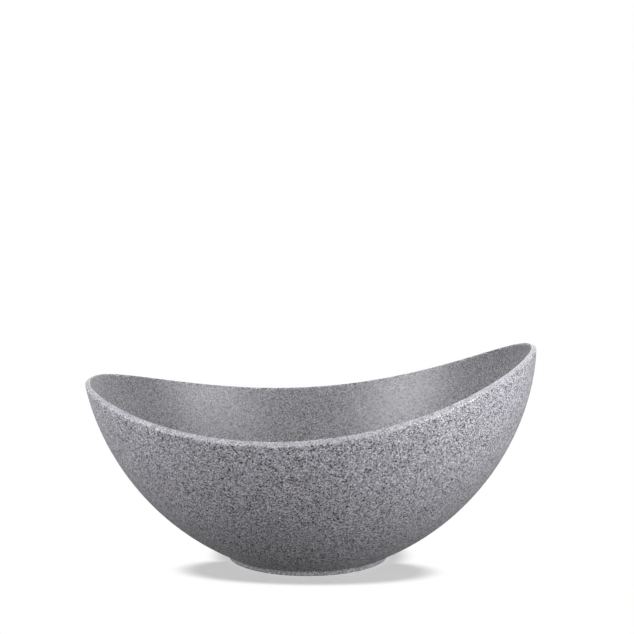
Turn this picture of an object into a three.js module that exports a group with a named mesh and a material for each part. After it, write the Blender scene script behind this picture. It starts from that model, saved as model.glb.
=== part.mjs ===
// An oval melamine serving bowl with a swooping rim: one end of the rim rises higher than the other,
// the long sides dip between them, and the wall runs down to a small round foot.
// The wall is oval at the top and round at the foot, and the rim follows one large arc seen from the side.
// Millimetres, +Z up. The bowl stands on z = 0, +X points to the high end, and the bowl is alike on both
// sides of the XZ plane.
import * as THREE from "three";

// Driving dimensions of the outer form, measured from the foot's own axis.
const halfLength = 151; // foot axis to the end wall at its widest level
const halfBreadth = 122.7; // foot axis to where the side wall would be widest
const widestLevel = 143; // height at which the wall stands upright
const lengthFullness = 2; // exponents of the wall's superellipse: outwards
const depthFullness = 1.85; // and downwards

// Driving dimensions of the rim.
const rimArcRadius = 341; // the arc that the rim follows, seen from the side
const rimLowestHeight = 97.8; // the crest at its lowest
const rimLowestPlace = -23.2; // x of that lowest point from the foot axis, towards the low end
const rimBevelDrop = 2.85; // how far the rim's outer edge lies below its crest
const rimOuterRound = 0.9; // softening of the outer edge
const rimCrestRound = 0.5; // softening of the crest

// Driving dimensions of the wall, the floor and the foot.
const wallThickness = 3.2; // body and glaze together
const glazeThickness = 0.3; // clear layer pressed on to the food side
const glazeMargin = 1.4; // bare body between the glaze's edge and the crest
const floorThickness = 3; // body and glaze together, over the foot's hollow
const floorBlend = 2.2; // height of the soft corner where the floor turns up into the wall
const footRadius = 54; // where the wall meets the foot
const footHeight = 3.3; // that corner's height above the table
const footTaper = 0.5; // how much narrower the foot is at the table
const footRingWidth = 4.5; // width of the ring that stands on the table
const footHollowDepth = 1.5; // hollow of the underside within the ring
const footEdge = 0.6; // softening of the foot's edges

// How finely the curved faces are drawn.
const directions = 72; // sections round the axis
const wallRows = 13; // rows up each face of the wall
const rowCrowding = 1.5; // over 1 puts the rows closer together low down, where the wall curves most
const roundSteps = 2; // steps round each softened edge
const blendRows = 4; // rows across the soft corner of the floor
const settleSteps = 30; // rounds that bring a point of the wall to the rim's arc
const slopeStep = 0.01; // height over which the wall's slope is taken

const floorLevel = footHollowDepth + floorThickness;

// Depth of the superellipse, chosen so that the wall runs into the foot's corner.
const wallDepth =
  (widestLevel - footHeight) /
  (1 - (footRadius / halfLength) ** lengthFullness) ** (1 / depthFullness);

// Half length of the wall's outer face at a height.
function reachAt(height) {
  const below = Math.max(widestLevel - height, 0) / wallDepth;
  return halfLength * (1 - below ** depthFullness) ** (1 / lengthFullness);
}

// Half breadth there: outside the foot's circle the side wall is the end wall drawn in.
function breadthAt(height) {
  const share = (reachAt(height) - footRadius) / (halfLength - footRadius);
  return footRadius + share * (halfBreadth - footRadius);
}

// A point of the wall's outer face.
function outerPoint(height, direction) {
  return new THREE.Vector3(
    reachAt(height) * Math.cos(direction),
    breadthAt(height) * Math.sin(direction),
    height,
  );
}

// The outer face's outward normal.
function outwardNormal(height, direction) {
  const up = outerPoint(height + slopeStep, direction).sub(
    outerPoint(height - slopeStep, direction),
  );
  const around = new THREE.Vector3(
    -reachAt(height) * Math.sin(direction),
    breadthAt(height) * Math.cos(direction),
    0,
  );
  return around.cross(up).normalize();
}

// A point inside the wall, or on its food side, a given depth behind the outer face.
function wallPoint(height, direction, depth) {
  const inwards = outwardNormal(height, direction).multiplyScalar(-depth);
  return outerPoint(height, direction).add(inwards);
}

// Height of the rim's crest over a place along the bowl.
function crestOver(x) {
  const along = x - rimLowestPlace;
  return rimLowestHeight + rimArcRadius - Math.sqrt(rimArcRadius ** 2 - along ** 2);
}

// The height on the outer face whose point, a given depth behind it, lies a given drop below the rim's arc.
function heightAtRim(direction, depth, drop) {
  let height = rimLowestHeight;
  for (let step = 0; step < settleSteps; step++) {
    const point = wallPoint(height, direction, depth);
    height += crestOver(point.x) - drop - point.z;
  }
  return height;
}

// The higher of two levels, with a soft change from one to the other.
function softHigher(level, other, blend) {
  const near = Math.max(blend - Math.abs(level - other), 0) / blend;
  return Math.max(level, other) + (near * near * blend) / 4;
}

// Heights of rows from one level to another.
function rowHeights(from, to, rows, crowding) {
  return Array.from(
    { length: rows + 1 },
    (_, row) => from + (to - from) * (row / rows) ** crowding,
  );
}

// The softened edge between two faces: it leaves one at a point and joins the other at a point.
function softEdge(from, corner, to) {
  return new THREE.QuadraticBezierCurve3(from, corner, to).getPoints(roundSteps);
}

// Underside and foot, the same in every direction: from the axis out to just under the wall's corner.
function footPoints(direction) {
  const outer = footRadius - footTaper;
  const inner = outer - footRingWidth;
  const profile = [
    [0, footHollowDepth],
    [inner - footEdge, footHollowDepth],
    [inner, footHollowDepth - footEdge],
    [inner, footEdge],
    [inner + footEdge, 0],
    [outer - footEdge, 0],
    [outer, footEdge],
  ];
  return profile.map(
    ([radius, z]) =>
      new THREE.Vector3(radius * Math.cos(direction), radius * Math.sin(direction), z),
  );
}

// Outer face of the wall, from the foot's corner up to the rim's softened outer edge.
function outerFace(direction) {
  const top = heightAtRim(direction, 0, rimBevelDrop) - rimOuterRound;
  return rowHeights(footHeight, top, wallRows, rowCrowding).map((height) =>
    outerPoint(height, direction),
  );
}

// The bevelled rim, from its outer edge over the crest to the food side.
function rimFace(direction) {
  const outerHeight = heightAtRim(direction, 0, rimBevelDrop);
  const crestHeight = heightAtRim(direction, wallThickness, 0);
  const outerEdge = outerPoint(outerHeight, direction);
  const crest = wallPoint(crestHeight, direction, wallThickness);
  const face = crest.clone().sub(outerEdge).normalize();
  const below = outerPoint(outerHeight - rimOuterRound, direction);
  const faceStart = outerEdge.clone().addScaledVector(face, rimOuterRound);
  const faceEnd = crest.clone().addScaledVector(face, -rimCrestRound);
  const inside = wallPoint(crestHeight - rimCrestRound, direction, wallThickness);
  return [
    ...softEdge(below, outerEdge, faceStart).slice(1),
    ...softEdge(faceEnd, crest, inside),
  ];
}

// One face of the food side, from the edge of the flat floor out and up to the glaze's edge under the crest.
function foodFace(direction, depth, level) {
  const cornerHeight = level - depth;
  const wallStart = cornerHeight + 2 * floorBlend;
  const top = heightAtRim(direction, wallThickness, 0) - glazeMargin;
  const heights = [
    ...rowHeights(cornerHeight - floorBlend, wallStart, blendRows, 1).slice(0, -1),
    ...rowHeights(wallStart, top, wallRows, rowCrowding),
  ];
  return heights.map((height) => {
    const point = wallPoint(height, direction, depth);
    point.z = softHigher(point.z, level, floorBlend);
    return point;
  });
}

const bodyDepth = wallThickness - glazeThickness;
const bodyFloorLevel = floorLevel - glazeThickness;

// The moulded body's section in one direction, from the underside's centre round to the floor's centre.
function bodySection(direction) {
  const seat = foodFace(direction, bodyDepth, bodyFloorLevel).reverse();
  const glazeEdge = foodFace(direction, wallThickness, floorLevel).at(-1);
  return [
    ...footPoints(direction),
    ...outerFace(direction),
    ...rimFace(direction),
    glazeEdge,
    ...seat,
    new THREE.Vector3(0, 0, bodyFloorLevel),
  ];
}

// The glaze's section in one direction, from the centre of its back round to the centre of its face.
function glazeSection(direction) {
  return [
    new THREE.Vector3(0, 0, bodyFloorLevel),
    ...foodFace(direction, bodyDepth, bodyFloorLevel),
    ...foodFace(direction, wallThickness, floorLevel).reverse(),
    new THREE.Vector3(0, 0, floorLevel),
  ];
}

// A closed skin over the sections that one function gives in each direction round the axis. Each section
// starts and ends on the axis. Each four-sided patch is split along its shorter diagonal, so two pieces
// that share a face split it alike.
function loftRound(sectionIn) {
  const sections = Array.from({ length: directions }, (_, turn) =>
    sectionIn((2 * Math.PI * turn) / directions),
  );
  const inner = sections.map((section) => section.slice(1, -1));
  const rows = inner[0].length;
  const points = [sections[0][0], ...inner.flat(), sections[0].at(-1)];
  const first = 0;
  const last = points.length - 1;
  const at = (turn, row) => 1 + (turn % directions) * rows + row;
  const faces = [];
  for (let turn = 0; turn < directions; turn++) {
    faces.push(first, at(turn + 1, 0), at(turn, 0));
    for (let row = 0; row + 1 < rows; row++) {
      const [a, b] = [at(turn, row), at(turn + 1, row)];
      const [c, d] = [at(turn + 1, row + 1), at(turn, row + 1)];
      if (points[a].distanceTo(points[c]) < points[b].distanceTo(points[d])) {
        faces.push(a, b, c, a, c, d);
      } else {
        faces.push(a, b, d, b, c, d);
      }
    }
    faces.push(last, at(turn, rows - 1), at(turn + 1, rows - 1));
  }
  const geometry = new THREE.BufferGeometry().setFromPoints(points);
  geometry.setIndex(faces);
  geometry.computeVertexNormals();
  return geometry;
}

const body = new THREE.Mesh(
  loftRound(bodySection),
  new THREE.MeshStandardMaterial({ color: 0x74727a, roughness: 0.6, metalness: 0 }),
);
body.name = "bowl_body";

const glaze = new THREE.Mesh(
  loftRound(glazeSection),
  new THREE.MeshStandardMaterial({ color: 0x74727a, roughness: 0.4, metalness: 0 }),
);
glaze.name = "inside_glaze";

// The origin lies on the table, midway between the ends of the rim.
const bowl = new THREE.Group();
bowl.add(body, glaze);
const reach = new THREE.Box3().setFromObject(body);
bowl.position.x = -(reach.min.x + reach.max.x) / 2;

export default bowl;
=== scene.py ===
"""An oval melamine serving bowl with a swooping rim, dressed as moulded granite-speckled melamine.

Two pieces stand for the bowl's two solids: the moulded body with its foot ring, and the clear glaze that is
pressed on to the food side. Geometry Nodes draw both from one rule of the wall. Metres, +Z up, +X towards
the high end of the rim, the bowl standing on z = 0.
"""

from __future__ import annotations

import logging
import math
from dataclasses import dataclass, field, fields
from enum import Enum

import bpy
from mathutils import Matrix, Vector


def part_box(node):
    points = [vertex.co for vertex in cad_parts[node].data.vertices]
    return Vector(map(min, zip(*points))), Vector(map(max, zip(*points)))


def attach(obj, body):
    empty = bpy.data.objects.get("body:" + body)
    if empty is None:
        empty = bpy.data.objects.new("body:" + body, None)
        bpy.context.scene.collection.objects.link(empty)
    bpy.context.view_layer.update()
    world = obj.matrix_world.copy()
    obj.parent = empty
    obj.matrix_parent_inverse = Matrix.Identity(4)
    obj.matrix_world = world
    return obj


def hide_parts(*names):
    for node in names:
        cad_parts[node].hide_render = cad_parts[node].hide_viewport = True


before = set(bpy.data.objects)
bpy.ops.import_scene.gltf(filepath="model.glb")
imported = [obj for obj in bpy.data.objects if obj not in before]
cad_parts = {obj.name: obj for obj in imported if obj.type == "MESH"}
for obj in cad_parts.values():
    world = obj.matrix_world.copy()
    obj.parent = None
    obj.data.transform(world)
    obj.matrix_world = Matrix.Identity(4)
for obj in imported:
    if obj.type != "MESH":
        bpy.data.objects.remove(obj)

LOG = logging.getLogger("melamine_bowl")
MM = 0.001
FULL_TURN = 2.0 * math.pi
PAINTED_HIGHLIGHT = "painted_highlight"  # the attribute that is 1 where a pale painted highlight lies on the rim and the foot's side
RIM_ROUNDS = 30  # rounds that bring a point of the wall to the rim's arc
SEAM = 0.001 * MM  # points closer than this are one point
CREASE = math.radians(40.0)  # edges sharper than this stay sharp in the shading
SOFT_CORNER_LIFT = 0.25  # lift in the middle of the floor's soft corner, as a share of its blend


class BowlPiece(Enum):
    """The two pieces of the bowl, by the names of their solids."""

    BODY = "bowl_body"
    GLAZE = "inside_glaze"


class MaterialSlot(Enum):
    """The material slots of the bowl's pieces."""

    BODY = "melamine_body"
    GLAZE = "melamine_glaze"


@dataclass(frozen=True)
class BowlForm:
    """Driving dimensions of the bowl in metres, measured from the foot's own axis."""

    # The outer form.
    half_length: float = 151.0 * MM  # foot axis to the end wall at its widest level
    half_breadth: float = 122.7 * MM  # foot axis to where the side wall would be widest
    widest_level: float = 143.0 * MM  # height at which the wall stands upright
    length_fullness: float = 2.0  # exponents of the wall's superellipse: outwards
    depth_fullness: float = 1.85  # and downwards
    # The rim.
    rim_arc_radius: float = 341.0 * MM  # the arc that the rim follows, seen from the side
    rim_lowest_height: float = 97.8 * MM  # the crest at its lowest
    rim_lowest_place: float = -23.2 * MM  # that lowest point's place along the bowl
    rim_bevel_drop: float = 2.85 * MM  # how far the rim's outer edge lies below its crest
    rim_outer_round: float = 0.9 * MM  # softening of the outer edge
    rim_crest_round: float = 0.5 * MM  # softening of the crest
    # The wall, the floor and the foot.
    wall_thickness: float = 3.2 * MM  # body and glaze together
    glaze_thickness: float = 0.3 * MM  # clear layer pressed on to the food side
    glaze_margin: float = 1.4 * MM  # bare body between the glaze's edge and the crest
    floor_thickness: float = 3.0 * MM  # body and glaze together, over the foot's hollow
    floor_blend: float = 2.2 * MM  # height of the soft corner where the floor turns up into the wall
    foot_radius: float = 54.0 * MM  # where the wall meets the foot
    foot_height: float = 3.3 * MM  # that corner's height above the table
    foot_taper: float = 0.5 * MM  # how much narrower the foot is at the table
    foot_ring_width: float = 4.5 * MM  # width of the ring that stands on the table
    foot_hollow_depth: float = 1.5 * MM  # hollow of the underside within the ring
    foot_edge: float = 0.6 * MM  # softening of the foot's lower edges
    foot_corner: float = 0.5 * MM  # softening of the corner between the wall and the foot

    @property
    def wall_depth(self) -> float:
        """Depth of the wall's superellipse, which runs into the foot's corner."""
        inset = (self.foot_radius / self.half_length) ** self.length_fullness
        return (self.widest_level - self.foot_height) / (1.0 - inset) ** (1.0 / self.depth_fullness)

    @property
    def floor_level(self) -> float:
        """Height of the food side's flat floor."""
        return self.foot_hollow_depth + self.floor_thickness

    def end_reach(self, side: int) -> float:
        """Works out how far the outer face reaches at one end of the rim.

        Args:
            side: 1 for the high end, -1 for the low end.

        Returns:
            The distance from the foot's axis.
        """
        reach = self.half_length
        for _ in range(RIM_ROUNDS):
            along = side * reach - self.rim_lowest_place
            crest = self.rim_lowest_height + self.rim_arc_radius
            crest -= math.sqrt(self.rim_arc_radius ** 2 - along ** 2)
            top = crest - self.rim_bevel_drop - self.rim_outer_round
            below = max(self.widest_level - top, 0.0) / self.wall_depth
            reach = self.half_length * (1.0 - below ** self.depth_fullness) ** (1.0 / self.length_fullness)
        return reach


def linear_colour(hex_code: str) -> tuple[float, float, float, float]:
    """Turns an sRGB hex colour into a linear one.

    Args:
        hex_code: six hex digits, such as "8a888f".

    Returns:
        Linear red, green, blue and an alpha of 1.
    """
    channels = [int(hex_code[start:start + 2], 16) / 255.0 for start in (0, 2, 4)]
    linear = [c / 12.92 if c <= 0.04045 else ((c + 0.055) / 1.055) ** 2.4 for c in channels]
    return (linear[0], linear[1], linear[2], 1.0)


def add_node(
    tree: bpy.types.NodeTree,
    kind: str,
    settings: dict[str, object] | None = None,
    feeds: dict[str | int, object] | None = None,
) -> bpy.types.Node:
    """Adds a node to a tree.

    Args:
        tree: the node tree.
        kind: the node's type.
        settings: properties of the node.
        feeds: what each input takes, a socket to link or a value to hold.

    Returns:
        The new node.
    """
    node = tree.nodes.new(kind)
    for name, value in (settings or {}).items():
        setattr(node, name, value)
    for name, value in (feeds or {}).items():
        if isinstance(value, bpy.types.NodeSocket):
            tree.links.new(value, node.inputs[name])
        else:
            node.inputs[name].default_value = value
    return node


class Formula:
    """A number worked out at every point of a mesh, kept as a node's socket and used like a number."""

    def __init__(self, tree: bpy.types.NodeTree, socket: bpy.types.NodeSocket) -> None:
        """Keeps the tree and the socket that gives the number."""
        self.tree = tree
        self.socket = socket

    def work(self, operation: str, *others: Formula | float) -> Formula:
        """Works out one sum.

        Args:
            operation: the sum's name on a Math node.
            others: what comes after this number in the sum.

        Returns:
            The result.
        """
        feeds = {place: fed(number) for place, number in enumerate((self, *others))}
        node = add_node(self.tree, "ShaderNodeMath", {"operation": operation}, feeds)
        return Formula(self.tree, node.outputs[0])

    def __add__(self, other: Formula | float) -> Formula:
        """Adds."""
        return self.work("ADD", other)

    def __sub__(self, other: Formula | float) -> Formula:
        """Takes away."""
        return self.work("SUBTRACT", other)

    def __rsub__(self, other: float) -> Formula:
        """Takes this away from a number."""
        return self.work("MULTIPLY_ADD", -1.0, other)

    def __mul__(self, other: Formula | float) -> Formula:
        """Multiplies."""
        return self.work("MULTIPLY", other)

    def __truediv__(self, other: Formula | float) -> Formula:
        """Divides."""
        return self.work("DIVIDE", other)

    def __pow__(self, other: Formula | float) -> Formula:
        """Raises to a power."""
        return self.work("POWER", other)


def fed(number: Formula | float) -> bpy.types.NodeSocket | float:
    """Gives what a node's input takes for a number: a formula's socket, or the plain number."""
    return number.socket if isinstance(number, Formula) else number


class Place:
    """A point worked out at every point of a mesh, kept as a node's socket and used like a vector."""

    def __init__(self, tree: bpy.types.NodeTree, socket: bpy.types.NodeSocket) -> None:
        """Keeps the tree and the socket that gives the point."""
        self.tree = tree
        self.socket = socket

    def work(self, operation: str, feeds: dict[str | int, object] | None = None) -> Place:
        """Works out one vector sum.

        Args:
            operation: the sum's name on a Vector Math node.
            feeds: the inputs after the first.

        Returns:
            The result.
        """
        taken = {0: self.socket, **(feeds or {})}
        node = add_node(self.tree, "ShaderNodeVectorMath", {"operation": operation}, taken)
        return Place(self.tree, node.outputs[0])

    def __add__(self, other: Place) -> Place:
        """Adds."""
        return self.work("ADD", {1: other.socket})

    def __sub__(self, other: Place) -> Place:
        """Takes away."""
        return self.work("SUBTRACT", {1: other.socket})

    def __mul__(self, length: Formula | float) -> Place:
        """Lengthens."""
        return self.work("SCALE", {"Scale": fed(length)})

    def cross(self, other: Place) -> Place:
        """Gives the direction square to both."""
        return self.work("CROSS_PRODUCT", {1: other.socket})

    def unit(self) -> Place:
        """Gives the same direction at length 1."""
        return self.work("NORMALIZE")

    def parts(self) -> tuple[Formula, Formula, Formula]:
        """Gives x, y and z."""
        node = add_node(self.tree, "ShaderNodeSeparateXYZ", feeds={0: self.socket})
        return tuple(Formula(self.tree, socket) for socket in node.outputs)


class BowlRule:
    """The bowl's form as formulas of a Geometry Nodes tree, whose inputs are the sizes of BowlForm.

    A face of the bowl is a unit grid bent into place. `turn` is the direction round the foot's axis and
    `share` runs from 0 to 1 along the face's section.
    """

    columns = 360  # columns of quads round the axis
    grid_middle = 0.5  # a unit grid runs from half below zero to half above

    def __init__(self, name: str) -> None:
        """Starts a tree with its inputs and the grid's own coordinates.

        Args:
            name: the tree's name.
        """
        self.tree = bpy.data.node_groups.new(name, "GeometryNodeTree")
        self.faces: list[bpy.types.NodeSocket] = []
        self.inputs: dict[str, str] = {}
        names = [size.name for size in fields(BowlForm)] + ["wall_depth", "floor_level", "foot_axis"]
        for size_name in names:
            socket = self.tree.interface.new_socket(
                size_name, in_out="INPUT", socket_type="NodeSocketFloat"
            )
            self.inputs[size_name] = socket.identifier
        finish = self.tree.interface.new_socket("finish", in_out="INPUT", socket_type="NodeSocketMaterial")
        self.inputs["finish"] = finish.identifier
        self.tree.interface.new_socket("piece", in_out="OUTPUT", socket_type="NodeSocketGeometry")
        self.entry = add_node(self.tree, "NodeGroupInput")
        self.size = {name: Formula(self.tree, self.entry.outputs[name]) for name in names}
        position = add_node(self.tree, "GeometryNodeInputPosition")
        across, along, _ = Place(self.tree, position.outputs[0]).parts()
        self.turn = (across + self.grid_middle) * FULL_TURN
        self.share = along + self.grid_middle
        self.cosine = self.turn.work("COSINE")
        self.sine = self.turn.work("SINE")

    def at(self, x: Formula | float, y: Formula | float, z: Formula | float) -> Place:
        """Makes a point of three coordinates."""
        node = add_node(self.tree, "ShaderNodeCombineXYZ", feeds={"X": fed(x), "Y": fed(y), "Z": fed(z)})
        return Place(self.tree, node.outputs[0])

    def turned(self, radius: Formula | float, height: Formula | float) -> Place:
        """Gives a point of a form that is the same in every direction."""
        return self.at(self.cosine * radius, self.sine * radius, height)

    def wall_point(self, height: Formula, depth: Formula | None = None) -> Place:
        """Finds a point of the wall.

        Args:
            height: height of the point's foot on the outer face.
            depth: how far behind the outer face the point lies, or None for the face itself.

        Returns:
            The point.
        """
        size = self.size
        below = (size["widest_level"] - height).work("MAXIMUM", 0.0) / size["wall_depth"]
        left = 1.0 - below ** size["depth_fullness"]
        reach = size["half_length"] * left ** (size["length_fullness"] ** -1.0)
        drawn_in = (size["half_breadth"] - size["foot_radius"]) / (size["half_length"] - size["foot_radius"])
        breadth = size["foot_radius"] + (reach - size["foot_radius"]) * drawn_in
        outer = self.at(reach * self.cosine, breadth * self.sine, height)
        if depth is None:
            return outer
        steepness = below ** (size["depth_fullness"] - 1.0) * size["depth_fullness"]
        lean = steepness * reach / (left * size["length_fullness"] * size["wall_depth"])
        around = self.at(reach * self.sine * -1.0, breadth * self.cosine, 0.0)
        upwards = self.at(lean * self.cosine, lean * drawn_in * self.sine, 1.0)
        return outer - around.cross(upwards).unit() * depth

    def height_at_rim(self, depth: Formula | None, drop: Formula | float) -> Formula:
        """Finds where the wall meets the rim's arc.

        Args:
            depth: how far behind the outer face, or None for the face itself.
            drop: how far below the arc.

        Returns:
            The height, on the outer face, of the point that lies there.
        """
        size = self.size
        opening = add_node(self.tree, "GeometryNodeRepeatInput")
        closing = add_node(self.tree, "GeometryNodeRepeatOutput")
        opening.pair_with_output(closing)
        closing.repeat_items.clear()
        closing.repeat_items.new("FLOAT", "height")
        opening.inputs["Iterations"].default_value = RIM_ROUNDS
        self.tree.links.new(size["rim_lowest_height"].socket, opening.inputs["height"])
        height = Formula(self.tree, opening.outputs["height"])
        x, _, z = self.wall_point(height, depth).parts()
        along = x - size["rim_lowest_place"]
        drop_of_arc = (size["rim_arc_radius"] ** 2.0 - along ** 2.0).work("SQRT")
        crest = size["rim_lowest_height"] + size["rim_arc_radius"] - drop_of_arc
        self.tree.links.new((height + crest - drop - z).socket, closing.inputs["height"])
        return Formula(self.tree, closing.outputs["height"])

    def along(self, start: Formula, end: Formula, crowding: float = 1.0) -> Formula:
        """Gives values from start to end along the face, crowded at the start if crowding is over 1."""
        return start + (end - start) * self.share ** crowding

    def straight(self, start: Place, end: Place) -> Place:
        """Gives the points of a straight section."""
        return start + (end - start) * self.share

    def soft_edge(self, start: Place, corner: Place, end: Place) -> Place:
        """Gives the points of a section that leaves one face at start and joins the next at end."""
        return self.straight(self.straight(start, corner), self.straight(corner, end))

    def soft_floor(self, point: Place, level: Formula) -> Place:
        """Lifts a point of the wall's food side to the floor, with a soft corner between the two.

        Args:
            point: the point of the wall.
            level: height of the floor.

        Returns:
            The point where it ends up.
        """
        x, y, z = point.parts()
        blend = self.size["floor_blend"]
        near = (blend - (z - level).work("ABSOLUTE")).work("MAXIMUM", 0.0) / blend
        return self.at(x, y, z.work("MAXIMUM", level) + near * near * blend * SOFT_CORNER_LIFT)

    def add_face(self, rows: int, place: Place, painted_highlight: Formula | float = 0.0) -> None:
        """Adds one face of the piece.

        Args:
            rows: rows of quads along its section.
            place: where the grid's points go.
            painted_highlight: how strongly the pale painted highlight shows there, from 0 to 1.
        """
        grid = add_node(self.tree, "GeometryNodeMeshGrid", feeds={
            "Size X": 1.0, "Size Y": 1.0, "Vertices X": self.columns + 1, "Vertices Y": rows + 1,
        })
        marked = add_node(self.tree, "GeometryNodeStoreNamedAttribute", {"data_type": "FLOAT"}, {
            "Geometry": grid.outputs["Mesh"], "Name": PAINTED_HIGHLIGHT, "Value": fed(painted_highlight),
        })
        bent = add_node(self.tree, "GeometryNodeSetPosition", feeds={
            "Geometry": marked.outputs[0], "Position": place.socket,
        })
        self.faces.append(bent.outputs[0])

    def close(self) -> None:
        """Joins the faces into one closed skin at the foot's place in the frame, and gives it its finish."""
        joined = add_node(self.tree, "GeometryNodeJoinGeometry")
        for face in self.faces:
            self.tree.links.new(face, joined.inputs[0])
        sewn = add_node(self.tree, "GeometryNodeMergeByDistance", feeds={
            "Geometry": joined.outputs[0], "Distance": SEAM,
        })
        placed = add_node(self.tree, "GeometryNodeSetPosition", feeds={
            "Geometry": sewn.outputs[0], "Offset": self.at(self.size["foot_axis"], 0.0, 0.0).socket,
        })
        smooth = add_node(self.tree, "GeometryNodeSetShadeSmooth", feeds={"Geometry": placed.outputs[0]})
        realized = add_node(self.tree, "GeometryNodeRealizeInstances", feeds={0: smooth.outputs[0]})
        finished = add_node(self.tree, "GeometryNodeSetMaterial", feeds={
            "Geometry": realized.outputs[0], "Material": self.entry.outputs["finish"],
        })
        add_node(self.tree, "NodeGroupOutput", feeds={0: finished.outputs[0]})


@dataclass
class BowlSkin:
    """What both pieces of the bowl share: their form, their place and how finely they are drawn."""

    form: BowlForm
    foot_axis: float  # the foot axis's place along the bowl
    wall_rows: int = 84
    hidden_rows: int = 30  # rows on the faces where the glaze lies on the body
    edge_rows: int = 6
    blend_rows: int = 12
    floor_rows: int = 12
    row_crowding: float = 1.3  # over 1 puts rows closer together low down, where the wall curves most
    blend_span: float = 3.0  # height of the rows over the floor's soft corner, in floor blends

    def seat(self, rule: BowlRule) -> tuple[Formula, Formula]:
        """Gives the depth of the glaze's seat behind the outer face, and the level of its floor."""
        size = rule.size
        return size["wall_thickness"] - size["glaze_thickness"], size["floor_level"] - size["glaze_thickness"]

    def glaze_edge(self, rule: BowlRule) -> Formula:
        """Gives the height of the glaze's edge, on the outer face."""
        size = rule.size
        return rule.height_at_rim(size["wall_thickness"], 0.0) - size["glaze_margin"]

    def add_food_face(self, rule: BowlRule, depth: Formula, level: Formula, rows: int, upwards: bool) -> None:
        """Adds a face of the food side, from the floor's centre to the glaze's edge.

        Args:
            rule: the bowl's rule.
            depth: how far behind the outer face the wall part lies.
            level: height of the floor part.
            rows: rows up the wall.
            upwards: True if the section runs from the floor up, False if it runs down to the floor.
        """
        size = rule.size
        low = level - depth - size["floor_blend"]
        wall_start = low + size["floor_blend"] * self.blend_span
        top = self.glaze_edge(rule)
        share = rule.share if upwards else 1.0 - rule.share
        centre = rule.at(0.0, 0.0, level)
        floor_edge = rule.soft_floor(rule.wall_point(low, depth), level)
        corner = rule.soft_floor(rule.wall_point(low + (wall_start - low) * share, depth), level)
        height = wall_start + (top - wall_start) * share ** self.row_crowding
        wall = rule.soft_floor(rule.wall_point(height, depth), level)
        faces = [
            (self.floor_rows, centre + (floor_edge - centre) * share),
            (self.blend_rows, corner),
            (rows, wall),
        ]
        for face_rows, place in faces if upwards else reversed(faces):
            rule.add_face(face_rows, place)

    def mesh_piece(self, rule: BowlRule, piece: BowlPiece, finish: bpy.types.Material) -> bpy.types.Object:
        """Draws a piece by its rule and keeps the result as a plain mesh.

        Args:
            rule: the closed rule.
            piece: which piece it is.
            finish: its material.

        Returns:
            The piece's object.
        """
        base = bpy.data.objects.new(f"{piece.value}_skin", bpy.data.meshes.new(f"{piece.value}_base"))
        bpy.context.scene.collection.objects.link(base)
        modifier = base.modifiers.new("bowl rule", "NODES")
        modifier.node_group = rule.tree
        for name, identifier in rule.inputs.items():
            if name == "finish":
                modifier[identifier] = finish
            else:
                modifier[identifier] = self.foot_axis if name == "foot_axis" else getattr(self.form, name)
        drawn = base.evaluated_get(bpy.context.evaluated_depsgraph_get())
        mesh = bpy.data.meshes.new_from_object(drawn)
        mesh.name = f"{piece.value}_skin"
        mesh.set_sharp_from_angle(angle=CREASE)
        base.modifiers.remove(modifier)
        base.data = mesh
        return base

    def place_piece(self, made: bpy.types.Object, piece: BowlPiece, slot: MaterialSlot) -> None:
        """Ties a piece to the bowl's one body and hides the solid that it stands for.

        Args:
            made: the piece's object.
            piece: which piece it is.
            slot: its material slot. Not used.
        """
        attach(made, "root")
        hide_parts(piece.value)
        mesh = made.data
        mesh.calc_loop_triangles()
        LOG.info("%s: %d points, %d triangles", made.name, len(mesh.vertices), len(mesh.loop_triangles))


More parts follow.
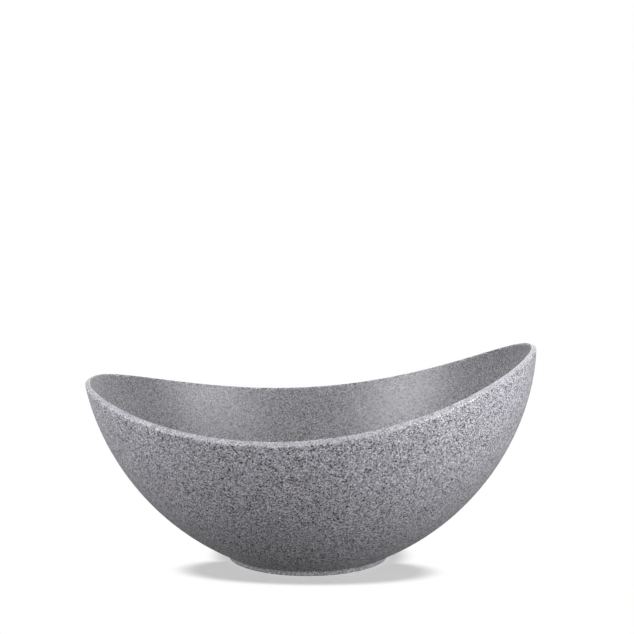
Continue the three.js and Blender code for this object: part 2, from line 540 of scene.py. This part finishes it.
@dataclass
class MouldedBody(BowlSkin):
    """The compression-moulded body: wall, bevelled rim, seat for the glaze, and foot ring."""

    edge_lean: float = 0.2  # share of the foot's taper that its outer lower edge takes up
    corner_lean: float = 0.15  # how far the foot's side leans in under its soft corner, as a share of it
    foot_highlight: float = 0.8  # how strongly the pale painted highlight shows on the foot's side, from 0 to 1
    rim_polish_onset: float = 3.0  # over 1 lets the rim's painted highlight set in late on its outer edge

    def add_foot(self, rule: BowlRule) -> None:
        """Adds the underside and the foot ring, from the axis out to the corner under the wall.

        Args:
            rule: the bowl's rule.
        """
        size = rule.size
        edge = size["foot_edge"]
        outer = size["foot_radius"] - size["foot_taper"]
        inner = outer - size["foot_ring_width"]
        hollow = size["foot_hollow_depth"]
        stops = [
            (0.0, hollow), (inner - edge, hollow),
            (inner, hollow), (inner, hollow - edge),
            (inner, edge),
            (inner, 0.0), (inner + edge, 0.0),
            (outer - edge, 0.0),
            (outer, 0.0), (outer + size["foot_taper"] * self.edge_lean, edge),
        ]
        at = [rule.turned(radius, height) for radius, height in stops]
        rule.add_face(self.floor_rows, rule.straight(at[0], at[1]))
        rule.add_face(self.edge_rows, rule.soft_edge(at[1], at[2], at[3]))
        rule.add_face(1, rule.straight(at[3], at[4]))
        rule.add_face(self.edge_rows, rule.soft_edge(at[4], at[5], at[6]))
        rule.add_face(self.edge_rows, rule.straight(at[6], at[7]))
        # The foot's lower edge and side carry the pale painted highlight.
        rule.add_face(self.edge_rows, rule.soft_edge(at[7], at[8], at[9]), self.foot_highlight)
        corner = rule.turned(size["foot_radius"], size["foot_height"])
        under = rule.turned(
            size["foot_radius"] - size["foot_corner"] * self.corner_lean,
            size["foot_height"] - size["foot_corner"],
        )
        over = rule.wall_point(size["foot_height"] + size["foot_corner"])
        rule.add_face(self.edge_rows, rule.straight(at[9], under), self.foot_highlight)
        rule.add_face(self.edge_rows, rule.soft_edge(under, corner, over))

    def add_outside(self, rule: BowlRule) -> None:
        """Adds the wall's outer face and the bevelled rim over to the glaze's edge.

        Args:
            rule: the bowl's rule.
        """
        size = rule.size
        thick = size["wall_thickness"]
        outer_height = rule.height_at_rim(None, size["rim_bevel_drop"])
        crest_height = rule.height_at_rim(thick, 0.0)
        top = outer_height - size["rim_outer_round"]
        height = rule.along(size["foot_height"] + size["foot_corner"], top, self.row_crowding)
        rule.add_face(self.wall_rows, rule.wall_point(height))
        outer_edge = rule.wall_point(outer_height)
        crest = rule.wall_point(crest_height, thick)
        bevel = (crest - outer_edge).unit()
        bevel_start = outer_edge + bevel * size["rim_outer_round"]
        bevel_end = crest - bevel * size["rim_crest_round"]
        inside = rule.wall_point(crest_height - size["rim_crest_round"], thick)
        outer_round = rule.soft_edge(rule.wall_point(top), outer_edge, bevel_start)
        # The rim's outer round, bevel and crest carry the pale painted highlight.
        rule.add_face(self.edge_rows, outer_round, rule.share ** self.rim_polish_onset)
        rule.add_face(self.edge_rows, rule.straight(bevel_start, bevel_end), 1.0)
        rule.add_face(self.edge_rows, rule.soft_edge(bevel_end, crest, inside), 1.0 - rule.share)
        margin = rule.along(crest_height - size["rim_crest_round"], self.glaze_edge(rule))
        rule.add_face(self.edge_rows, rule.wall_point(margin, thick))

    def build(self, finish: bpy.types.Material) -> bpy.types.Object:
        """Draws the body.

        Args:
            finish: its material.

        Returns:
            The body's object.
        """
        rule = BowlRule("moulded body")
        self.add_foot(rule)
        self.add_outside(rule)
        depth, level = self.seat(rule)
        ledge = rule.along(rule.size["wall_thickness"], depth)
        rule.add_face(1, rule.wall_point(self.glaze_edge(rule), ledge))
        self.add_food_face(rule, depth, level, self.hidden_rows, upwards=False)
        rule.close()
        made = self.mesh_piece(rule, BowlPiece.BODY, finish)
        self.place_piece(made, BowlPiece.BODY, MaterialSlot.BODY)
        return made


@dataclass
class InsideGlaze(BowlSkin):
    """The clear glaze pressed on to the food side, from the floor to just under the rim's crest."""

    def build(self, finish: bpy.types.Material) -> bpy.types.Object:
        """Draws the glaze.

        Args:
            finish: its material.

        Returns:
            The glaze's object.
        """
        rule = BowlRule("inside glaze")
        depth, level = self.seat(rule)
        self.add_food_face(rule, depth, level, self.hidden_rows, upwards=True)
        edge = rule.along(depth, rule.size["wall_thickness"])
        rule.add_face(1, rule.wall_point(self.glaze_edge(rule), edge))
        self.add_food_face(
            rule, rule.size["wall_thickness"], rule.size["floor_level"], self.wall_rows, upwards=False
        )
        rule.close()
        made = self.mesh_piece(rule, BowlPiece.GLAZE, finish)
        self.place_piece(made, BowlPiece.GLAZE, MaterialSlot.GLAZE)
        return made


@dataclass(frozen=True)
class Fleck:
    """One kind of fleck in the moulding powder, and how the flecks are strewn."""

    colour: str
    pitch: float  # side of the cells that hold one fleck or none
    radius: float
    share: float  # share of the cells that hold a fleck
    offset: float  # moves the cells off those of the other kind


@dataclass(frozen=True)
class GraniteSpeckle:
    """The granite speckle of the moulding powder: dark and pale flecks in a gritty grey, right through.

    Many real grains are finer than these. They are drawn as coarse as they need to be to show, where a pixel
    of the standing view is about 0.67 mm of the bowl.
    """

    grit: float = 0.55 * MM  # size of the grey grains
    grit_dark: str = "4c4b4f"
    grit_pale: str = "adacb0"
    ragged: float = 0.13 * MM  # how far the grains' edges stray
    ragged_size: float = 0.5 * MM  # length over which they stray
    cloud: float = 26.0 * MM  # size of faint patches where the powder was mixed unevenly
    cloud_detail: float = 3.0
    cloud_depth: float = 0.06  # how much the patches darken and lighten
    tone: float = 1.0  # makes the whole speckle deeper below 1
    soft_share: float = 0.9  # share of a fleck's radius within its soft edge
    flecks: tuple[Fleck, ...] = (
        Fleck("d0cfd2", pitch=0.66 * MM, radius=0.37 * MM, share=0.13, offset=7.3 * MM),
        Fleck("0e0d0f", pitch=0.78 * MM, radius=0.52 * MM, share=0.175, offset=0.0),
    )

    def lay(self, tree: bpy.types.NodeTree) -> bpy.types.NodeSocket:
        """Lays the speckle.

        Args:
            tree: the material's node tree.

        Returns:
            The socket of the speckle's colour.
        """
        place = add_node(tree, "ShaderNodeTexCoord").outputs["Object"]
        ripple = add_node(tree, "ShaderNodeTexNoise", feeds={
            "Vector": place, "Scale": 1.0 / self.ragged_size, "Detail": 0.0,
        })
        # The ripple runs from 0 to 1, so twice the straying distance spans both ways.
        ragged = add_node(tree, "ShaderNodeVectorMath", {"operation": "MULTIPLY_ADD"}, {
            0: ripple.outputs["Color"], 1: (self.ragged * 2.0,) * 3, 2: place,
        }).outputs[0]
        grit = add_node(tree, "ShaderNodeTexVoronoi", feeds={"Vector": ragged, "Scale": 1.0 / self.grit})
        tone = add_node(tree, "ShaderNodeSeparateColor", feeds={0: grit.outputs["Color"]})
        colour = add_node(tree, "ShaderNodeMix", {"data_type": "RGBA"}, {
            "Factor": tone.outputs[0],
            "A": linear_colour(self.grit_dark),
            "B": linear_colour(self.grit_pale),
        }).outputs["Result"]
        for fleck in self.flecks:
            colour = self.strew(tree, fleck, ragged, colour)
        clouds = add_node(tree, "ShaderNodeTexNoise", feeds={
            "Vector": place, "Scale": 1.0 / self.cloud, "Detail": self.cloud_detail,
        })
        shade = add_node(tree, "ShaderNodeMapRange", feeds={
            0: clouds.outputs[0],
            "To Min": self.tone * (1.0 - self.cloud_depth),
            "To Max": self.tone * (1.0 + self.cloud_depth),
        })
        shaded = add_node(tree, "ShaderNodeVectorMath", {"operation": "SCALE"}, {
            0: colour, "Scale": shade.outputs[0],
        })
        return shaded.outputs[0]

    def strew(
        self,
        tree: bpy.types.NodeTree,
        fleck: Fleck,
        place: bpy.types.NodeSocket,
        under: bpy.types.NodeSocket,
    ) -> bpy.types.NodeSocket:
        """Strews one kind of fleck.

        Args:
            tree: the material's node tree.
            fleck: the kind of fleck.
            place: the coordinates to strew on.
            under: the colour below the flecks.

        Returns:
            The socket of the colour with the flecks on it.
        """
        moved = add_node(tree, "ShaderNodeVectorMath", {"operation": "ADD"}, {
            0: place, 1: (fleck.offset,) * 3,
        })
        cells = add_node(tree, "ShaderNodeTexVoronoi", feeds={
            "Vector": moved.outputs[0], "Scale": 1.0 / fleck.pitch,
        })
        luck = add_node(tree, "ShaderNodeSeparateColor", feeds={0: cells.outputs["Color"]})
        chosen = add_node(tree, "ShaderNodeMath", {"operation": "LESS_THAN"}, {
            0: luck.outputs[0], 1: fleck.share,
        })
        reach = add_node(tree, "ShaderNodeMath", {"operation": "MULTIPLY"}, {
            0: chosen.outputs[0], 1: fleck.radius / fleck.pitch,
        })
        core = add_node(tree, "ShaderNodeMath", {"operation": "MULTIPLY"}, {
            0: reach.outputs[0], 1: self.soft_share,
        })
        shown = add_node(tree, "ShaderNodeMapRange", feeds={
            0: cells.outputs["Distance"], "From Min": reach.outputs[0], "From Max": core.outputs[0],
        })
        mixed = add_node(tree, "ShaderNodeMix", {"data_type": "RGBA"}, {
            "Factor": shown.outputs[0], "A": under, "B": linear_colour(fleck.colour),
        })
        return mixed.outputs["Result"]


@dataclass(frozen=True)
class MelamineFinish:
    """Compression-moulded melamine: a hard, faintly satin skin over the speckle."""

    name: str
    roughness: float
    ior: float
    coat: float
    coat_roughness: float
    coat_ior: float
    peel: float  # height of the skin's shallow waves
    peel_size: float = 3.5 * MM  # length of those waves
    peel_detail: float = 2.0
    highlight_colour: str = "929193"  # pale colour painted on the rim and the foot's side: a painted highlight for the light these faces catch
    highlight_share: float = 0.38  # how far that painted highlight hides the speckle
    speckle: GraniteSpeckle = field(default_factory=GraniteSpeckle)

    def make(self) -> bpy.types.Material:
        """Makes the material.

        Returns:
            The material.
        """
        material = bpy.data.materials.new(self.name)
        material.use_nodes = True
        tree = material.node_tree
        tree.nodes.clear()
        colour = self.speckle.lay(tree)
        # Pale painted highlight laid over the speckle on the rim's bevel and the foot's side.
        painted_highlight = add_node(tree, "ShaderNodeAttribute", {"attribute_name": PAINTED_HIGHLIGHT})
        amount = add_node(tree, "ShaderNodeMath", {"operation": "MULTIPLY"}, {
            0: painted_highlight.outputs["Fac"], 1: self.highlight_share,
        })
        highlighted = add_node(tree, "ShaderNodeMix", {"data_type": "RGBA"}, {
            "Factor": amount.outputs[0], "A": colour, "B": linear_colour(self.highlight_colour),
        })
        place = add_node(tree, "ShaderNodeTexCoord").outputs["Object"]
        waves = add_node(tree, "ShaderNodeTexNoise", feeds={
            "Vector": place, "Scale": 1.0 / self.peel_size, "Detail": self.peel_detail,
        })
        bump = add_node(tree, "ShaderNodeBump", feeds={
            "Strength": 1.0, "Distance": self.peel, "Height": waves.outputs[0],
        })
        shader = add_node(tree, "ShaderNodeBsdfPrincipled", feeds={
            "Base Color": highlighted.outputs["Result"],
            "Roughness": self.roughness,
            "IOR": self.ior,
            "Coat Weight": self.coat,
            "Coat Roughness": self.coat_roughness,
            "Coat IOR": self.coat_ior,
            "Normal": bump.outputs[0],
        })
        add_node(tree, "ShaderNodeOutputMaterial", feeds={"Surface": shader.outputs[0]})
        return material


# Moulded melamine from the press: the die's fine blast leaves it satin-matt, so lights smear into soft glows.
MOULDED = MelamineFinish(
    "moulded_melamine",
    roughness=0.55,
    ior=1.5,
    coat=0.0,
    coat_roughness=0.0,
    coat_ior=1.5,
    peel=0.012 * MM,
)
# The food side has a clear melamine glaze over the same speckle, which takes over most of the mirroring
# with a broad sheen of its own. Its speckle is darker, partly as the glaze wets it, partly as painted shade.
GLAZED = MelamineFinish(
    "glazed_melamine",
    roughness=0.5,
    ior=1.35,
    coat=1.0,
    coat_roughness=0.4,
    coat_ior=1.7,
    peel=0.01 * MM,
    # darker speckle: partly the glaze wetting it, partly painted shade inside the bowl
    speckle=GraniteSpeckle(tone=0.82),
)


class Reach(Enum):
    """What a softbox lights: flags and cards keep it off the rest."""

    BOWL = "all of the bowl"
    OUTSIDE = "the bowl but for its food side"
    TABLE = "the table alone"


@dataclass(frozen=True)
class Softbox:
    """A square softbox that faces the bowl."""

    name: str
    azimuth: float  # degrees round from the front, to the right
    elevation: float  # degrees up from level
    side: float  # metres
    power: float  # watts
    distance: float = 1.3  # metres from the bowl's middle
    reach: Reach = Reach.BOWL
    colour: str = "fcfbff"

    def light(self, aim: Vector, table: bpy.types.Object, food_side: bpy.types.Object) -> None:
        """Sets the softbox up.

        Args:
            aim: the point that it faces.
            table: the table under the bowl.
            food_side: the piece that lines the bowl.
        """
        lamp = bpy.data.lights.new(self.name, "AREA")
        lamp.shape = "SQUARE"
        lamp.size = self.side
        lamp.energy = self.power
        lamp.color = linear_colour(self.colour)[:3]
        stand = bpy.data.objects.new(self.name, lamp)
        turn = Matrix.Rotation(math.radians(self.azimuth), 3, "Z")
        rise = Matrix.Rotation(math.radians(-self.elevation), 3, "X")
        towards = turn @ rise @ Vector((0.0, -1.0, 0.0))
        stand.location = aim + towards * self.distance
        stand.rotation_euler = towards.to_track_quat("Z", "Y").to_euler()
        stand.visible_camera = False
        bpy.context.scene.collection.objects.link(stand)
        flagged = bpy.data.collections.new(f"{self.name} flags")
        flagged.objects.link(table)
        if self.reach is Reach.OUTSIDE:
            flagged.objects.link(food_side)
        for item in flagged.collection_objects:
            item.light_linking.link_state = "INCLUDE" if self.reach is Reach.TABLE else "EXCLUDE"
        stand.light_linking.receiver_collection = flagged


@dataclass(frozen=True)
class ShadowOval:
    """An oval of the table in which the bowl's shadow shows."""

    half_length: float
    half_breadth: float
    forward: float  # how far its middle lies in front of the bowl's

    def measure(self, tree: bpy.types.NodeTree, place: bpy.types.NodeSocket) -> bpy.types.NodeSocket:
        """Measures how far out in the oval a place lies.

        Args:
            tree: the table's node tree.
            place: the place's coordinates.

        Returns:
            The socket of a number that is 0 in the middle and 1 at the oval's edge.
        """
        centred = add_node(tree, "ShaderNodeVectorMath", {"operation": "ADD"}, {
            0: place, 1: (0.0, self.forward, 0.0),
        })
        shares = add_node(tree, "ShaderNodeVectorMath", {"operation": "DIVIDE"}, {
            0: centred.outputs[0], 1: (self.half_length, self.half_breadth, 1.0),
        })
        length = add_node(tree, "ShaderNodeVectorMath", {"operation": "LENGTH"}, {0: shares.outputs[0]})
        return length.outputs["Value"]


@dataclass(frozen=True)
class Studio:
    """A table that shows the bowl's shadow and runs out to white, softboxes, and a white surround.

    The shadow shows in two ovals: a flat one in front of the foot, as in the standing view, and a round one
    close about the foot, which grounds the bowl from every side.
    """

    table_radius: float = 3.0  # metres
    table_corners: int = 72
    shadows: tuple[ShadowOval, ShadowOval] = (
        ShadowOval(half_length=91.0 * MM, half_breadth=37.0 * MM, forward=40.0 * MM),
        ShadowOval(half_length=72.0 * MM, half_breadth=72.0 * MM, forward=0.0),
    )
    shadow_fade: float = 0.24  # share of an oval over which the shadow fades out
    table_colour: str = "e6e6e8"
    table_glow: float = 0.475  # keeps the shadow pale
    table_bounce: float = 0.21  # brightness of the table as the bowl sees it
    surround: float = 0.02  # brightness of the surround as the bowl sees it
    softboxes: tuple[Softbox, ...] = (
        Softbox("right softbox", azimuth=54.0, elevation=18.0, side=0.9, power=12.4),
        Softbox("left softbox", azimuth=-50.0, elevation=22.0, side=0.75, power=10.7),
        Softbox("back softbox", azimuth=180.0, elevation=45.0, side=0.8, power=14.0),
        Softbox("top softbox", azimuth=0.0, elevation=89.0, side=0.6, power=3.0),
        Softbox(
            "near right softbox", azimuth=56.0, elevation=20.0, side=0.3, power=2.0,
            distance=0.48, reach=Reach.OUTSIDE,
        ),
        Softbox(
            "near left softbox", azimuth=-66.0, elevation=20.0, side=0.24, power=1.3,
            distance=0.48, reach=Reach.OUTSIDE,
        ),
        Softbox(
            "near back softbox", azimuth=180.0, elevation=10.0, side=0.5, power=1.5,
            distance=0.5, reach=Reach.OUTSIDE,
        ),
        Softbox("table softbox", azimuth=0.0, elevation=89.0, side=0.5, power=12.0, reach=Reach.TABLE),
    )

    def set_surround(self) -> None:
        """Makes the world: white to the eye, straight, mirrored or through glass, and a faint light."""
        world = bpy.data.worlds.new("white surround")
        bpy.context.scene.world = world
        world.use_nodes = True
        tree = world.node_tree
        tree.nodes.clear()
        path = add_node(tree, "ShaderNodeLightPath")
        mirrored = add_node(tree, "ShaderNodeMath", {"operation": "MAXIMUM"}, {
            0: path.outputs["Is Glossy Ray"], 1: path.outputs["Is Transmission Ray"],
        })
        seen = add_node(tree, "ShaderNodeMath", {"operation": "MAXIMUM"}, {
            0: path.outputs["Is Camera Ray"], 1: mirrored.outputs[0],
        })
        strength = add_node(tree, "ShaderNodeMapRange", feeds={
            0: seen.outputs[0], "To Min": self.surround, "To Max": 1.0,
        })
        glow = add_node(tree, "ShaderNodeBackground", feeds={
            "Color": linear_colour("ffffff"), "Strength": strength.outputs[0],
        })
        add_node(tree, "ShaderNodeOutputWorld", feeds={"Surface": glow.outputs[0]})

    def table_finish(self) -> bpy.types.Material:
        """Makes the table's material: paint in the shadow's ovals, white elsewhere, a pale sheet to the bowl.

        Returns:
            The material.
        """
        material = bpy.data.materials.new("white_table")
        material.use_nodes = True
        tree = material.node_tree
        tree.nodes.clear()
        place = add_node(tree, "ShaderNodeTexCoord").outputs["Object"]
        nearest = add_node(tree, "ShaderNodeMath", {"operation": "MINIMUM"}, {
            slot: oval.measure(tree, place) for slot, oval in enumerate(self.shadows)
        })
        far = add_node(tree, "ShaderNodeMapRange", {"interpolation_type": "SMOOTHSTEP"}, {
            0: nearest.outputs[0], "From Min": 1.0 - self.shadow_fade, "From Max": 1.0,
        })
        paint = add_node(tree, "ShaderNodeBsdfDiffuse", feeds={"Color": linear_colour(self.table_colour)})
        glow = add_node(tree, "ShaderNodeEmission", feeds={"Strength": self.table_glow})
        near = add_node(tree, "ShaderNodeAddShader", feeds={0: paint.outputs[0], 1: glow.outputs[0]})
        white = add_node(tree, "ShaderNodeEmission", feeds={"Strength": 1.0})
        shown = add_node(tree, "ShaderNodeMixShader", feeds={
            0: far.outputs[0], 1: near.outputs[0], 2: white.outputs[0],
        })
        bounce = add_node(tree, "ShaderNodeEmission", feeds={"Strength": self.table_bounce})
        path = add_node(tree, "ShaderNodeLightPath")
        surface = add_node(tree, "ShaderNodeMixShader", feeds={
            0: path.outputs["Is Camera Ray"], 1: bounce.outputs[0], 2: shown.outputs[0],
        })
        add_node(tree, "ShaderNodeOutputMaterial", feeds={"Surface": surface.outputs[0]})
        return material

    def set_table(self) -> bpy.types.Object:
        """Makes the table.

        Returns:
            The table's object.
        """
        mesh = bpy.data.meshes.new("table")
        turns = [FULL_TURN * corner / self.table_corners for corner in range(self.table_corners)]
        rim = [Vector((math.cos(turn), math.sin(turn), 0.0)) * self.table_radius for turn in turns]
        mesh.from_pydata(rim, [], [list(range(self.table_corners))])
        mesh.materials.append(self.table_finish())
        table = bpy.data.objects.new("table", mesh)
        bpy.context.scene.collection.objects.link(table)
        return table

    def build(self, aim: Vector, food_side: bpy.types.Object) -> None:
        """Sets up the table, the surround and the softboxes.

        Args:
            aim: the point that the softboxes face.
            food_side: the piece that lines the bowl.
        """
        self.set_surround()
        table = self.set_table()
        for softbox in self.softboxes:
            softbox.light(aim, table, food_side)


@dataclass(frozen=True)
class StandingView:
    """The camera of the standing view, placed from the foot's axis."""

    picture_pixels: float = 634.0  # side of the square picture
    focal_pixels: float = 1382.3  # focal length in those pixels
    stand_off: float = 917.1 * MM
    eye_height: float = 245.9 * MM
    side_step: float = 6.0 * MM
    pitch: float = 0.0919  # radians that the camera looks down
    bowl_turn: float = -0.0419  # radians that the bowl stands turned from square on

    def build(self, foot_axis: float) -> None:
        """Sets the camera up.

        Args:
            foot_axis: the foot axis's place along the bowl.
        """
        data = bpy.data.cameras.new("standing view")
        data.lens = data.sensor_width * self.focal_pixels / self.picture_pixels
        camera = bpy.data.objects.new("standing view", data)
        turn = Matrix.Rotation(-self.bowl_turn, 3, "Z")
        stand = turn @ Vector((self.side_step, -self.stand_off, self.eye_height))
        camera.location = stand + Vector((foot_axis, 0.0, 0.0))
        camera.rotation_euler = (math.radians(90.0) - self.pitch, 0.0, -self.bowl_turn)
        bpy.context.scene.collection.objects.link(camera)
        bpy.context.scene.camera = camera


def main() -> None:
    """Builds the bowl, the studio and the camera."""
    logging.basicConfig(level=logging.INFO, format="%(name)s: %(message)s")
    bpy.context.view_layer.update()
    form = BowlForm()
    low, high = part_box(BowlPiece.BODY.value)
    foot_axis = (low[0] + high[0]) / 2.0 - (form.end_reach(1) - form.end_reach(-1)) / 2.0
    bpy.context.scene.view_settings.view_transform = "Standard"
    MouldedBody(form, foot_axis).build(MOULDED.make())
    food_side = InsideGlaze(form, foot_axis).build(GLAZED.make())
    aim = Vector((foot_axis, 0.0, (low[2] + high[2]) / 2.0))
    Studio().build(aim, food_side)
    StandingView().build(foot_axis)


if __name__ == "__main__":
    main()
